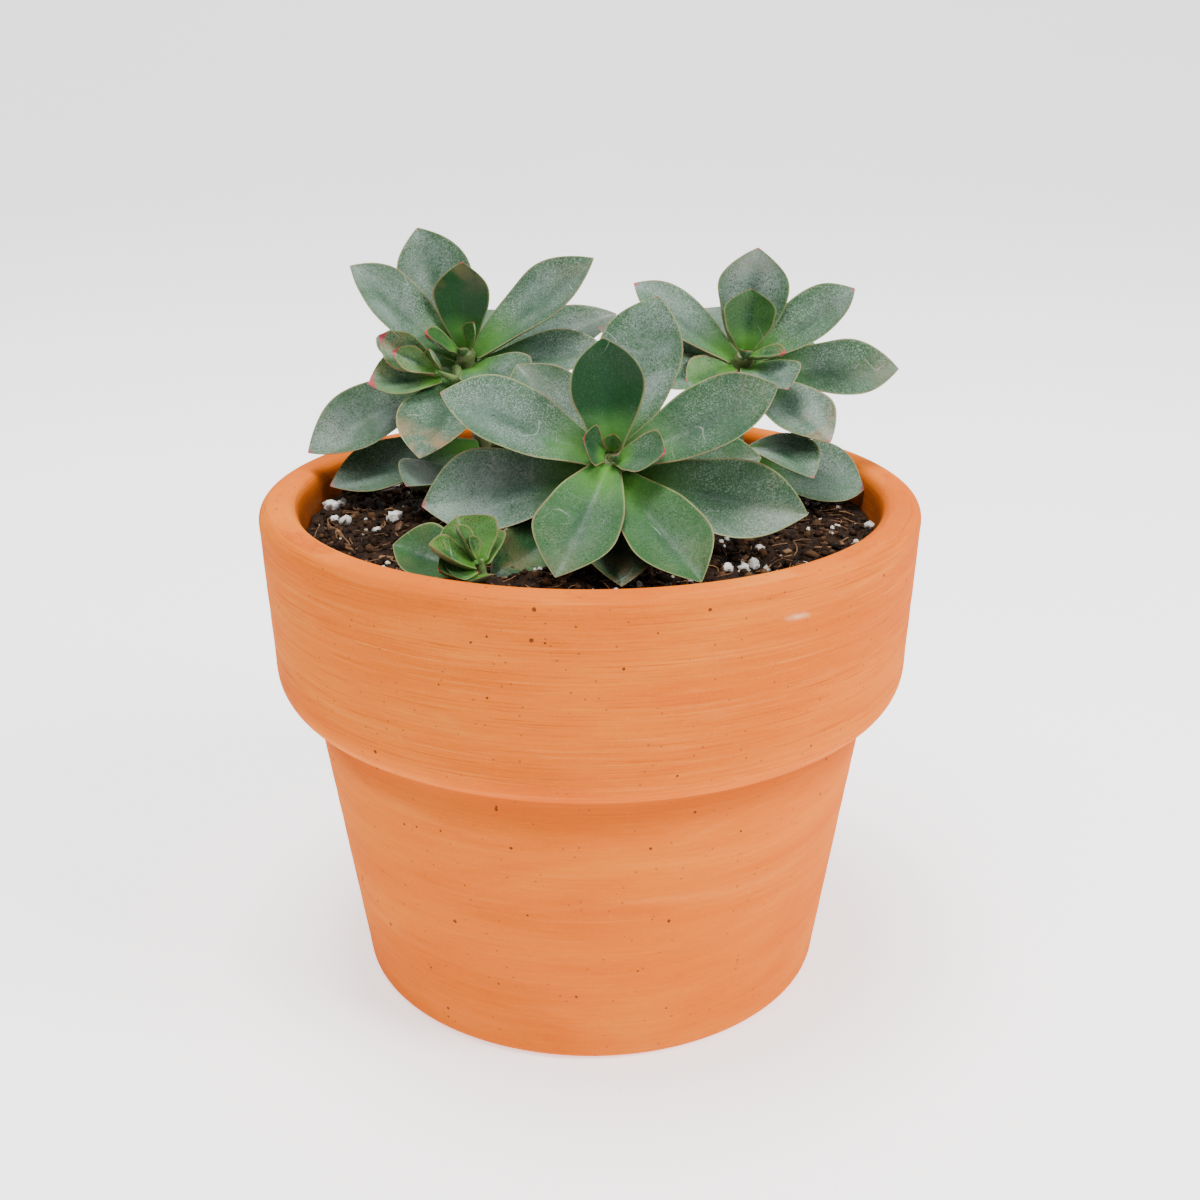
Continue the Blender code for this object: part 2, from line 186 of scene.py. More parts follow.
# How a leaf is coloured, each from 0 to 1. bloom: grey wax over the green. young: bright clear green.
# blush: pink at the tip and margin. scorch: peach and brown at the tip. shade: darkening of the green, partly
# the leaf's own darker green and partly painted shade.
Look = namedtuple("Look", "bloom young blush scorch shade")
GROWN = Look(0.75, 0.1, 0.3, 0.0, 0.3)
YOUNG = Look(0.12, 0.75, 0.55, 0.0, 0.5)
WAXY_BLOOM = 0.3  # a leaf with this much bloom or more has the glossier, waxy finish
# Leaf by leaf, bloom and shade are partly each leaf's own colour and partly painted light and shade, set by
# how brightly each leaf is lit
LOOKS = {
    "front_blade_01": Look(1.0, 0.05, 0.15, 0.0, 0.2),
    "front_blade_02": Look(0.0, 0.0, 0.12, 0.0, 1.0),
    "front_blade_03": Look(0.64, 0.0, 0.2, 0.0, 0.35),
    "front_blade_04": Look(1.0, 0.05, 0.3, 0.0, 0.2),
    "front_blade_05": Look(0.22, 0.15, 0.1, 0.1, 0.5),
    "front_blade_06": Look(0.2, 0.2, 0.1, 0.1, 0.55),
    "front_blade_07": Look(0.48, 0.1, 0.1, 0.1, 0.6),
    "front_blade_08": Look(0.38, 0.05, 0.15, 0.1, 0.6),
    "front_blade_09": Look(0.35, 0.15, 0.6, 0.0, 0.6),
    "front_blade_10": Look(0.15, 0.1, 0.6, 0.0, 0.8),
    "front_blade_11": Look(0.35, 0.2, 0.1, 0.1, 0.5),
    "front_blade_12": Look(0.40, 0.2, 0.1, 0.6, 0.4),
    "front_blade_13": Look(0.05, 0.1, 0.0, 0.5, 0.3),
    "front_blade_14": Look(0.5, 0.1, 0.1, 0.1, 0.5),
    "left_blade_01": Look(0.85, 0.1, 0.2, 0.0, 0.3),
    "left_blade_02": Look(0.94, 0.1, 0.2, 0.0, 0.2),
    "left_blade_03": Look(0.02, 0.05, 0.3, 0.3, 0.9),
    "left_blade_04": Look(0.66, 0.0, 0.2, 0.15, 0.3),
    "left_blade_05": Look(0.85, 0.0, 0.2, 0.1, 0.2),
    "left_blade_06": Look(0.80, 0.0, 0.2, 0.1, 0.3),
    "left_blade_07": Look(0.72, 0.05, 0.2, 0.1, 0.3),
    "left_blade_08": Look(0.52, 0.0, 0.1, 1.0, 0.3),
    "left_blade_09": Look(1.0, 0.05, 0.3, 0.1, 0.1),
    "left_blade_10": Look(0.06, 0.4, 1.0, 0.0, 0.7),
    "left_blade_11": Look(0.55, 0.25, 0.0, 0.0, 0.1),
    "right_blade_01": Look(1.0, 0.1, 0.25, 0.2, 0.0),
    "right_blade_02": Look(1.0, 0.05, 0.35, 0.0, 0.1),
    "right_blade_03": Look(0.1, 0.35, 0.2, 0.0, 0.8),
    "right_blade_04": Look(0.76, 0.1, 0.3, 0.1, 0.25),
    "right_blade_05": Look(0.56, 0.05, 0.15, 0.2, 0.5),
    "right_blade_06": Look(0.66, 0.05, 0.3, 0.5, 0.35),
    "right_blade_07": Look(0.70, 0.05, 0.3, 0.4, 0.3),
    "right_blade_08": Look(0.2, 0.4, 1.0, 0.3, 0.4),
    "right_blade_09": Look(0.6, 0.15, 0.1, 0.0, 0.3),
    "bud_blade_01": Look(0.55, 0.9, 1.0, 0.5, 0.0),
    "bud_blade_02": Look(0.5, 1.0, 1.0, 0.8, 0.0),
    "bud_blade_03": Look(0.3, 1.0, 1.0, 0.6, 0.0),
    "offset_blade_01": Look(0.08, 0.2, 0.15, 0.2, 0.9),
    "offset_blade_02": Look(0.08, 0.75, 0.2, 0.1, 0.3),
    "offset_blade_03": Look(0.08, 0.9, 0.2, 0.2, 0.1),
    "offset_blade_04": Look(0.08, 0.8, 0.3, 0.0, 0.3),
    "offset_blade_05": Look(0.12, 0.85, 0.2, 0.3, 0.3),
}

# ---------------------------------------------------------------- modelling helpers


def begin(name, shape, **sizes):
    """Adds a plain shape, with the centre and turn of the frame, and selects all of it for editing."""
    bpy.ops.object.select_all(action="DESELECT")
    getattr(bpy.ops.mesh, f"primitive_{shape}_add")(**sizes)
    piece = bpy.context.object
    piece.name = piece.data.name = name
    bpy.ops.object.transform_apply(location=True, rotation=True, scale=True)
    bpy.ops.object.mode_set(mode="EDIT")
    bpy.ops.mesh.select_all(action="SELECT")
    return piece


def stop_editing():
    """Turns every face outwards and leaves edit mode."""
    bpy.ops.mesh.select_all(action="SELECT")
    bpy.ops.mesh.normals_make_consistent(inside=False)
    bpy.ops.object.mode_set(mode="OBJECT")


def select_where(piece, chosen):
    """Selects the vertices whose places pass a test."""
    bpy.ops.mesh.select_all(action="DESELECT")
    bpy.ops.object.mode_set(mode="OBJECT")
    for vert in piece.data.vertices:
        vert.select = chosen(vert.co)
    bpy.ops.object.mode_set(mode="EDIT")


def select_ring(piece, axis, place):
    """Selects the vertices that lie at this place along an axis."""
    select_where(piece, lambda co: abs(co[axis] - place) < SAME_PLACE)


def close_ring(step=(0, 0, 0)):
    """Draws the selected ring to a point at its middle, a step away."""
    bpy.ops.mesh.extrude_edges_move(TRANSFORM_OT_translate={"value": step})
    bpy.ops.mesh.merge(type="CENTER")


def extrude_ring(step, scale, centre):
    """Draws the selected ring out by a step, and sizes the new ring about its centre."""
    bpy.ops.mesh.extrude_edges_move(TRANSFORM_OT_translate={"value": step})
    bpy.ops.transform.resize(value=scale, center_override=centre)


def smooth_over(piece, levels):
    subdivision = piece.modifiers.new("Smooth", "SUBSURF")
    subdivision.levels = subdivision.render_levels = levels
    bpy.ops.object.modifier_apply(modifier=subdivision.name)


def coordinates(mesh):
    co = np.zeros(len(mesh.vertices) * 3)
    mesh.vertices.foreach_get("co", co)
    return co.reshape(-1, 3)


def set_coordinates(mesh, co):
    mesh.vertices.foreach_set("co", np.asarray(co, np.float32).ravel())
    mesh.update()


def store(mesh, name, values):
    """Keeps a number for every vertex, which the finishes read by its name."""
    layer = mesh.attributes.get(name) or mesh.attributes.new(name, "FLOAT", "POINT")
    layer.data.foreach_set("value", np.broadcast_to(values, len(mesh.vertices)).astype(np.float32))


def stored(mesh, name):
    values = np.zeros(len(mesh.vertices))
    mesh.attributes[name].data.foreach_get("value", values)
    return values


def moved(points, matrix):
    turn = np.array(matrix.to_3x3())
    return points @ turn.T + np.array(matrix.translation)


def smoothstep(low, high, value):
    t = np.clip((value - low) / (high - low), 0, 1)
    return t * t * (3 - 2 * t)


def finished(piece, finish, slot, *nodes):
    """Gives a piece its finish, smooth shading and its place on the root body, and hides the nodes that it
    stands for. The slot is not used.
    """
    piece.data.materials.clear()
    piece.data.materials.append(finish)
    piece.data.shade_smooth()
    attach(piece, "root")
    if nodes:
        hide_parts(*nodes)


def copy_of(pattern, name):
    piece = bpy.data.objects.new(name, pattern.data.copy())
    piece.data.name = name
    bpy.context.scene.collection.objects.link(piece)
    return piece


# ---------------------------------------------------------------- finishes


class Finish:
    """A material with its principled shader, and short calls for the nodes of its recipe."""

    def __init__(self, name, **constants):
        self.material = bpy.data.materials.new(name)
        self.material.use_nodes = True
        self.tree = self.material.node_tree
        self.shader = self.tree.nodes["Principled BSDF"]
        for socket, value in constants.items():
            self.put(self.shader.inputs[socket.replace("_", " ")], value)
        self.place = self.tree.nodes.new("ShaderNodeTexCoord").outputs["Object"]

    def put(self, socket, value):
        if isinstance(value, bpy.types.NodeSocket):
            self.tree.links.new(value, socket)
        elif socket.type == "RGBA":
            socket.default_value = (*value, 1)
        else:
            socket.default_value = value

    def stretched(self, scale):
        node = self.tree.nodes.new("ShaderNodeMapping")
        node.inputs["Scale"].default_value = scale
        self.put(node.inputs["Vector"], self.place)
        return node.outputs["Vector"]

    def cloud(self, scale, detail=3.0, rough=0.5, vector=None, distortion=0.0):
        node = self.tree.nodes.new("ShaderNodeTexNoise")
        self.put(node.inputs["Vector"], vector or self.place)
        node.inputs["Scale"].default_value = scale
        node.inputs["Detail"].default_value = detail
        node.inputs["Roughness"].default_value = rough
        node.inputs["Distortion"].default_value = distortion
        return node.outputs["Fac"]

    def cells(self, scale, vector=None):
        """Distance from each cell's centre, and a colour of its own for each cell."""
        node = self.tree.nodes.new("ShaderNodeTexVoronoi")
        self.put(node.inputs["Vector"], vector or self.place)
        node.inputs["Scale"].default_value = scale
        return node.outputs["Distance"], node.outputs["Color"]

    def attribute(self, name):
        node = self.tree.nodes.new("ShaderNodeAttribute")
        node.attribute_name = name
        return node.outputs["Fac"]

    def sum(self, operation, first, second=0.0):
        node = self.tree.nodes.new("ShaderNodeMath")
        node.operation = operation
        self.put(node.inputs[0], first)
        self.put(node.inputs[1], second)
        return node.outputs["Value"]

    def times(self, *factors):
        result = factors[0]
        for factor in factors[1:]:
            result = self.sum("MULTIPLY", result, factor)
        return result

    def ramp(self, value, low, high, start=0.0, end=1.0):
        """Rises smoothly from start to end as the value goes from low to high."""
        node = self.tree.nodes.new("ShaderNodeMapRange")
        node.interpolation_type = "SMOOTHSTEP"
        self.put(node.inputs["Value"], value)
        for socket, number in zip(("From Min", "From Max", "To Min", "To Max"), (low, high, start, end)):
            node.inputs[socket].default_value = number
        return node.outputs["Result"]

    def mix(self, share, first, second, blend="MIX"):
        node = self.tree.nodes.new("ShaderNodeMix")
        node.data_type = "RGBA"
        node.blend_type = blend
        self.put(node.inputs[0], share)
        self.put(node.inputs[6], first)
        self.put(node.inputs[7], second)
        return node.outputs[2]

    def relief(self, height, depth, strength=1.0, under=None):
        """Bump, with its depth in metres."""
        node = self.tree.nodes.new("ShaderNodeBump")
        node.inputs["Strength"].default_value = strength
        node.inputs["Distance"].default_value = depth
        self.put(node.inputs["Height"], height)
        if under:
            self.put(node.inputs["Normal"], under)
        return node.outputs["Normal"]

    def finish(self, colour, roughness, normal):
        self.put(self.shader.inputs["Base Color"], colour)
        self.put(self.shader.inputs["Roughness"], roughness)
        self.put(self.shader.inputs["Normal"], normal)
        return self.material


def leaf_finish(name, specular):
    """Green flesh under a thin grey wax that is speckled, rubbed and scratched, with a pale margin and
    painted shade along the middle crease.
    """
    f = Finish(name, Specular_IOR_Level=specular, Coat_Weight=0.04, Coat_Roughness=0.25,
               Subsurface_Weight=0.05, Subsurface_Radius=(0.3, 0.6, 0.2), Subsurface_Scale=0.003)
    along, across, edge, upper = map(f.attribute, ("along", "across", "edge", "upper"))
    bloom, young, blush, scorch, shade = map(f.attribute, Look._fields)

    middle = f.sum("ABSOLUTE", across)
    patches = f.cloud(110, 4, 0.55)
    flesh = f.mix(f.ramp(patches, 0.3, 0.7), (0.018, 0.078, 0.021), (0.040, 0.118, 0.036))
    # Darker green towards the tip by the leaf's shade: partly its own colour, partly painted shade
    flesh = f.mix(f.times(shade, f.ramp(along, 0.10, 0.45)), flesh, (0.002, 0.036, 0.0050))
    flesh = f.mix(young, flesh, (0.074, 0.182, 0.026))
    flesh = f.mix(f.times(shade, young, f.ramp(f.cloud(160, 3), 0.35, 0.65)), flesh, (0.022, 0.100, 0.020))

    speck = f.ramp(f.cloud(2500, 2, 0.65), 0.47, 0.63)
    grain = f.ramp(f.cloud(1350, 3, 0.65), 0.36, 0.64)
    wax_and_painted_light = f.mix(f.ramp(f.cloud(75, 3), 0.35, 0.7), (0.098, 0.155, 0.120), (0.160, 0.208, 0.190))
    rubbed = f.ramp(f.cloud(60, 5, 0.6, distortion=0.6), 0.30, 0.62, 0.28, 1.0)
    spread = f.times(f.ramp(along, 0.06, 0.55, 0.06, 1.0), f.ramp(middle, 1.0, 0.50, 0.35, 1.0))
    # A paler wax on the leaves with the most bloom: partly their own wax, partly painted light that brightens
    # them
    wax_and_painted_light = f.mix(f.ramp(bloom, 0.80, 1.0, 0.0, 0.45), wax_and_painted_light, (0.250, 0.310, 0.285))
    cover = f.times(bloom, rubbed, spread, f.ramp(grain, 0, 1, 0.62, 1.0))
    skin = f.mix(cover, flesh, wax_and_painted_light)
    dust = f.times(f.ramp(bloom, 0.0, 0.7, 0.08, 0.62), f.ramp(patches, 0.35, 0.6, 0.35, 1.0))
    skin = f.mix(f.times(speck, dust, f.ramp(along, 0.05, 0.4)), skin, (0.245, 0.295, 0.262))
    dark_specks = f.times(f.ramp(f.cloud(3100, 2, 0.5), 0.52, 0.64), f.ramp(f.cloud(150, 3), 0.30, 0.60))
    skin = f.mix(f.times(dark_specks, 0.80), skin, (0.008, 0.034, 0.014))

    base = f.times(f.ramp(along, 0.45, 0.02), f.ramp(middle, 1.0, 0.2, 0.45, 1.0))
    skin = f.mix(f.times(base, 0.85), skin, (0.070, 0.205, 0.024))
    # Painted shade: the middle crease of the upper side is darkened
    painted_crease_shade = f.times(f.ramp(middle, 0.36, 0.02), f.ramp(along, 0.18, 0.50), f.ramp(along, 0.95, 0.6), upper)
    skin = f.mix(f.times(painted_crease_shade, 0.68, f.ramp(patches, 0.32, 0.58)), skin, (0.006, 0.042, 0.016))

    contour = f.sum("ABSOLUTE", f.sum("SUBTRACT", f.cloud(48, 1.5, 0.4, distortion=1.2), 0.5))
    scratch = f.times(f.ramp(contour, 0.0042, 0.0014), f.ramp(f.cloud(95, 2), 0.54, 0.64))
    skin = f.mix(f.times(scratch, 0.5), skin, (0.30, 0.33, 0.28))
    skin = f.mix(f.ramp(upper, 0.6, 0.3, 0.0, 0.55), skin, (0.115, 0.165, 0.120))

    burn = f.times(scorch, f.ramp(along, 0.55, 0.95), f.ramp(f.cloud(170, 3, 0.6), 0.40, 0.60))
    skin = f.mix(f.times(burn, 0.75), skin, (0.30, 0.17, 0.08))
    burn_spots = f.times(scorch, f.ramp(along, 0.6, 0.85), f.ramp(f.cloud(420, 3, 0.6), 0.60, 0.66))
    skin = f.mix(f.times(burn_spots, 0.8), skin, (0.09, 0.03, 0.015))

    margin = f.ramp(edge, 0.55, 0.12)
    rim_colour = f.mix(f.ramp(f.cloud(120, 3), 0.42, 0.62), (0.200, 0.225, 0.085), (0.215, 0.150, 0.070))
    rim_colour = f.mix(f.times(blush, f.ramp(f.cloud(70, 2), 0.50, 0.65)), rim_colour, (0.30, 0.085, 0.075))
    skin = f.mix(f.times(margin, 0.72), skin, rim_colour)
    reach = f.sum("ADD", along, f.times(blush, 0.10))
    tip = f.times(f.ramp(reach, 0.985, 1.035), f.ramp(blush, 0.0, 0.4))
    skin = f.mix(f.times(tip, 0.9), skin, (0.36, 0.035, 0.055))

    dimples = f.relief(f.cloud(1500, 3, 0.6), 0.06 * MM)
    normal = f.relief(f.cloud(180, 3, 0.5), 0.35 * MM, 1.0, dimples)
    roughness = f.sum("ADD", f.ramp(grain, 0, 1, 0.34, 0.46), f.times(bloom, 0.08))
    return f.finish(skin, roughness, normal)


def stem_finish():
    """Pale green-brown bark with corky flecks and darker leaf scars."""
    f = Finish("stem_bark", Specular_IOR_Level=0.3, Subsurface_Weight=0.03, Subsurface_Scale=0.002)
    scar, young = f.attribute("scar"), f.attribute("young")
    bark = f.mix(f.ramp(f.cloud(260, 4, 0.6), 0.35, 0.65), (0.070, 0.090, 0.030), (0.13, 0.12, 0.055))
    bark = f.mix(young, bark, (0.105, 0.19, 0.050))
    bark = f.mix(f.times(f.ramp(f.cloud(900, 3, 0.6), 0.55, 0.68), 0.6), bark, (0.20, 0.17, 0.10))
    bark = f.mix(f.times(scar, 0.6), bark, (0.07, 0.04, 0.02))
    roughness = f.ramp(f.cloud(500), 0.3, 0.7, 0.5, 0.7)
    return f.finish(bark, roughness, f.relief(f.cloud(700, 4, 0.6), 0.25 * MM))


def clay_finish():
    """Unglazed terracotta: cloudy bands and fine brushed lines from the wheel, pores and chalky marks, with
    painted shade under the collar and on the inside wall.
    """
    f = Finish("terracotta_clay", Specular_IOR_Level=0.02)
    bands = f.cloud(14, 5, 0.6, f.stretched((1, 1, 4.5)), 0.4)
    clay = f.mix(f.ramp(bands, 0.32, 0.68), (0.610, 0.114, 0.003), (0.690, 0.164, 0.008))
    warm = f.ramp(f.cloud(9, 4, 0.55, f.stretched((1, 1, 3)), 0.8), 0.50, 0.72)
    clay = f.mix(f.times(warm, 0.75), clay, (0.560, 0.088, 0.002))
    pale = f.ramp(f.cloud(11, 5, 0.6, f.stretched((1.3, 1.3, 7)), 0.5), 0.54, 0.76)
    clay = f.mix(f.times(pale, 0.6), clay, (0.700, 0.220, 0.034))
    lines = f.cloud(26, 5, 0.72, f.stretched((1, 1, 46)))
    collar = f.attribute("collar")
    streaks = f.ramp(collar, 0, 1, 0.20, 0.50)
    clay = f.mix(f.times(f.ramp(lines, 0.50, 0.70), streaks), clay, (0.74, 0.240, 0.040))
    clay = f.mix(f.times(f.ramp(lines, 0.48, 0.28), streaks), clay, (0.56, 0.092, 0.006))
    fine = f.cloud(40, 4, 0.7, f.stretched((1, 1, 60)))
    fine_streaks = f.times(f.ramp(fine, 0.48, 0.34), f.ramp(collar, 0, 1, 0.15, 0.6))
    clay = f.mix(fine_streaks, clay, (0.48, 0.072, 0.002))
    grit = f.ramp(f.cloud(1500, 3, 0.7), 0.50, 0.75)
    clay = f.mix(f.times(grit, 0.20), clay, (0.78, 0.240, 0.050))

    # Painted shade: a darker band on the wall just under the collar, standing in for the collar's shadow
    clay = f.mix(f.times(f.attribute("painted_collar_shade"), 0.6), clay, (0.42, 0.072, 0.003))

    near, own = f.cells(300)
    chosen = f.ramp(own, 0.55, 0.59)
    size = f.ramp(f.cloud(240, 2), 0.38, 0.68, -0.03, 0.13)
    pore = f.times(f.ramp(f.sum("SUBTRACT", near, size), 0.020, -0.010), chosen)
    clay = f.mix(f.times(pore, 0.9), clay, (0.11, 0.032, 0.012))
    small_near, small_own = f.cells(520)
    small_pore = f.times(f.ramp(small_near, 0.17, 0.09), f.ramp(small_own, 0.61, 0.65))
    clay = f.mix(f.times(small_pore, 0.7), clay, (0.20, 0.060, 0.022))

    chalk = f.ramp(f.cloud(55, 5, 0.7, f.stretched((1, 1, 2.2)), 1.5), 0.66, 0.78)
    clay = f.mix(f.times(chalk, 0.25), clay, (0.80, 0.33, 0.11))
    # Painted shade: the inside wall is darkened from just below the lip downwards
    clay = f.mix(f.times(f.attribute("inner_wall_shade"), 0.9), clay, (0.22, 0.044, 0.004))
    soiling = f.attribute("soiling")
    clay = f.mix(f.times(soiling, f.ramp(f.cloud(130, 4, 0.65), 0.35, 0.62)), clay, (0.16, 0.050, 0.016))
    clay = f.mix(f.attribute("scuff"), clay, (0.88, 0.60, 0.36))

    rough_skin = f.relief(f.cloud(1300, 4, 0.65), 0.05 * MM)
    wheel = f.relief(lines, 0.24 * MM, 1.0, rough_skin)
    pits = f.relief(f.times(pore, -1.0), 0.5 * MM, 1.0, wheel)
    return f.finish(clay, f.ramp(grit, 0, 1, 0.72, 0.86), pits)


def soil_finish():
    """Dark, damp potting mix, nearly black in its hollows and reddish brown where it is fibrous."""
    f = Finish("potting_soil", Specular_IOR_Level=0.12)
    tone = f.attribute("tone")
    earth = f.mix(f.ramp(f.cloud(420, 5, 0.7), 0.32, 0.66), (0.005, 0.0026, 0.0017), (0.032, 0.0145, 0.0068))
    earth = f.mix(f.ramp(tone, 0.40, 1.0), earth, (0.095, 0.045, 0.019))
    earth = f.mix(f.times(f.ramp(f.cloud(1500, 3, 0.7), 0.62, 0.74), 0.7), earth, (0.15, 0.085, 0.040))
    roughness = f.ramp(f.cloud(300), 0.3, 0.7, 0.7, 0.95)
    return f.finish(earth, roughness, f.relief(f.cloud(900, 5, 0.7), 0.6 * MM))


def fibre_finish():
    """Coir and bark: reddish-brown strands and chips."""
    f = Finish("coir_fibre", Specular_IOR_Level=0.3)
    tone = f.attribute("tone")
    strand = f.mix(tone, (0.045, 0.017, 0.007), (0.28, 0.140, 0.056))
    strand = f.mix(f.times(f.ramp(f.cloud(1100, 3, 0.6), 0.5, 0.7), 0.6), strand, (0.30, 0.17, 0.08))
    roughness = f.ramp(f.cloud(600), 0.3, 0.7, 0.6, 0.85)
    return f.finish(strand, roughness, f.relief(f.cloud(1400, 3), 0.2 * MM))


def perlite_finish():
    """Chalk-white puffed grains, with faint soil in their hollows."""
    f = Finish("perlite", Specular_IOR_Level=0.3, Subsurface_Weight=0.1, Subsurface_Scale=0.001)
    tone = f.attribute("tone")
    grain = f.mix(tone, (0.86, 0.85, 0.80), (0.66, 0.58, 0.40))
    stain = f.ramp(f.cloud(700, 4, 0.65), 0.50, 0.68)
    grain = f.mix(f.times(stain, 0.65), grain, (0.30, 0.20, 0.12))
    roughness = f.ramp(f.cloud(900), 0.3, 0.7, 0.7, 0.9)
    return f.finish(grain, roughness, f.relief(f.cloud(1400, 4, 0.7), 0.7 * MM))


# ---------------------------------------------------------------- pot


def arc_points(centre, radii, start, end, count):
    """Points on an arc of an ellipse, as (radius, height), angles in degrees."""
    points = []
    for i in range(count + 1):
        angle = radians(start + (end - start) * i / count)
        points.append((centre[0] + radii[0] * cos(angle), centre[1] + radii[1] * sin(angle)))
    return points


def inner_radius(z):
    """Radius of the pot's inside at a height: a straight taper from the lip to the floor."""
    top = RIM_RADIUS - WALL
    bottom = FOOT_RADIUS - WALL
    return bottom + (top - bottom) * (z - FLOOR) / (POT_HEIGHT - FLOOR)


def wheel_marks(start, end, count, depth, rng):
    """Points down a wall between two (radius, height) places, with the faint rings of the wheel."""
    points = []
    for i in range(1, count):
        share = i / count
        radius = start[0] + (end[0] - start[0]) * share - depth * rng.random()
        points.append((radius, start[1] + (end[1] - start[1]) * share))
    return points


POT_SIDES = 128
WHEEL_DEPTH = 0.10 * MM  # of the rings that the wheel leaves on the clay
LOWER_WHEEL_DEPTH = 0.12 * MM
WARP_FINENESS = 26
WARP = 0.10 * MM  # how far the hand-turned wall wanders from a true circle


def pot_profile():
    """The pot's outline as (radius, height) places: down the outside, under the foot and up the inside."""
    rng = np.random.default_rng(5)
    lip = LIP_ROUNDING
    rim = arc_points((RIM_RADIUS - lip, POT_HEIGHT - lip), (lip, lip), 90, 0, 5)
    shoulder = arc_points(
        (SHOULDER_RADIUS, COLLAR_FOOT_Z + COLLAR_ROUNDING),
        (COLLAR_FOOT_RADIUS - SHOULDER_RADIUS, COLLAR_ROUNDING), 0, -84, 7)
    wall_top = (SHOULDER_RADIUS - 0.1 * MM, COLLAR_FOOT_Z - 0.7 * MM)
    foot = arc_points((FOOT_RADIUS - FOOT_ROUNDING, FOOT_ROUNDING), (FOOT_ROUNDING, FOOT_ROUNDING), 0, -90, 4)
    inside_foot = (inner_radius(FLOOR + 2 * MM), FLOOR + 2 * MM)
    inner_lip = arc_points((inner_radius(POT_HEIGHT) + lip, POT_HEIGHT - lip), (lip, lip), 180, 90, 4)
    return [
        *rim,
        *wheel_marks(rim[-1], shoulder[0], 18, WHEEL_DEPTH, rng),
        *shoulder,
        wall_top,
        *wheel_marks(wall_top, foot[0], 26, LOWER_WHEEL_DEPTH, rng),
        *foot,
        (DRAIN_RADIUS + 1 * MM, 0), (DRAIN_RADIUS, 0.8 * MM), (DRAIN_RADIUS, FLOOR - 0.8 * MM),
        (DRAIN_RADIUS + 1 * MM, FLOOR),
        (inner_radius(FLOOR) - 2 * MM, FLOOR),
        inside_foot,
        *wheel_marks(inside_foot, inner_lip[0], 16, WHEEL_DEPTH, rng),
        *inner_lip,
    ]


def make_pot(finish):
    profile = pot_profile()
    start_radius, start_z = profile[0]
    pot = begin("clay_pot", "circle", vertices=POT_SIDES, radius=start_radius, location=(0, 0, start_z))
    for (radius, z), (next_radius, next_z) in zip(profile, profile[1:] + profile[:1]):
        share = next_radius / radius
        extrude_ring((0, 0, next_z - z), (share, share, 1), (0, 0, next_z))
    bpy.ops.mesh.select_all(action="SELECT")
    bpy.ops.mesh.remove_doubles(threshold=SAME_RING)
    stop_editing()
    smooth_over(pot, 1)
    co = coordinates(pot.data)
    radius = np.hypot(co[:, 0], co[:, 1])
    warp = np.array([noise.noise(Vector(p) * WARP_FINENESS) for p in co])
    hand = np.where(radius > DRAIN_RADIUS * 2, 1 - WARP * (warp + 0.6) / np.maximum(radius, MM), 1)
    co[:, :2] *= hand[:, None]
    set_coordinates(pot.data, co)
    store_wear(pot.data, co, radius)
    finished(pot, finish, "terracotta", "pot")


def store_wear(mesh, co, radius):
    """Where the clay is soiled, scuffed or brushed on the collar, and where painted shade darkens the inside
    wall and the band under the collar.
    """
    z = co[:, 2]
    inside = (radius < inner_radius(z) + 1 * MM) & (z > FLOOR)
    stain = smoothstep(SOIL_Z + 4.5 * MM, SOIL_Z + 1.0 * MM, z)
    store(mesh, "soiling", np.where(inside, stain, 0))
    # Painted shade on the inside wall, from just below the lip down
    inner_wall_shade = smoothstep(POT_HEIGHT + 1 * MM, POT_HEIGHT - 5 * MM, z)
    store(mesh, "inner_wall_shade", np.where(inside, inner_wall_shade, 0))
    store(mesh, "scuff", scuffs(co, radius))
    # Painted shade under the collar: a band beneath the collar's foot, darkened in the clay colour
    collar_shade_band = smoothstep(COLLAR_FOOT_Z - 13 * MM, COLLAR_FOOT_Z - 4 * MM, z)
    collar_shade_band *= smoothstep(COLLAR_FOOT_Z + 3 * MM, COLLAR_FOOT_Z - 1 * MM, z)
    store(mesh, "painted_collar_shade", collar_shade_band)
    store(mesh, "collar", smoothstep(COLLAR_FOOT_Z - 1 * MM, COLLAR_FOOT_Z + 4 * MM, z))


# Chalky marks on the pot's outside: heading in degrees, then millimetres for the height up the pot, the
# length round the pot and the height of the mark, then its slant and its strength
Scuff = namedtuple("Scuff", "heading z length height slant strength")
SCUFFS = [
    Scuff(-59, 112.5, 9, 0.6, 0.05, 0.6),
    Scuff(-116, 65, 1.6, 9, 0.0, 0.14),
]


def scuffs(co, radius):
    """How chalky each vertex is, from 0 to 1."""
    heading = np.arctan2(co[:, 1], co[:, 0])
    total = np.zeros(len(co))
    for scuff in SCUFFS:
        half_length = scuff.length * MM / 2
        along = (heading - radians(scuff.heading)) * RIM_RADIUS / half_length
        middle = scuff.z * MM + scuff.slant * along * half_length
        rise = (co[:, 2] - middle) / (scuff.height * MM / 2)
        total = np.maximum(total, scuff.strength * smoothstep(1.3, 0.6, np.hypot(along, rise)))
    return np.where(co[:, 2] < POT_HEIGHT - 1 * MM, total, 0) * (radius > FOOT_RADIUS)


# ---------------------------------------------------------------- soil

# Where the soil is heaped against the small offset in front, how high, and how wide at its foot and top
HEAP_X, HEAP_Y = -23 * MM, -54.5 * MM
HEAP_HEIGHT = 4.0 * MM
HEAP_FOOT, HEAP_TOP = 9 * MM, 2 * MM


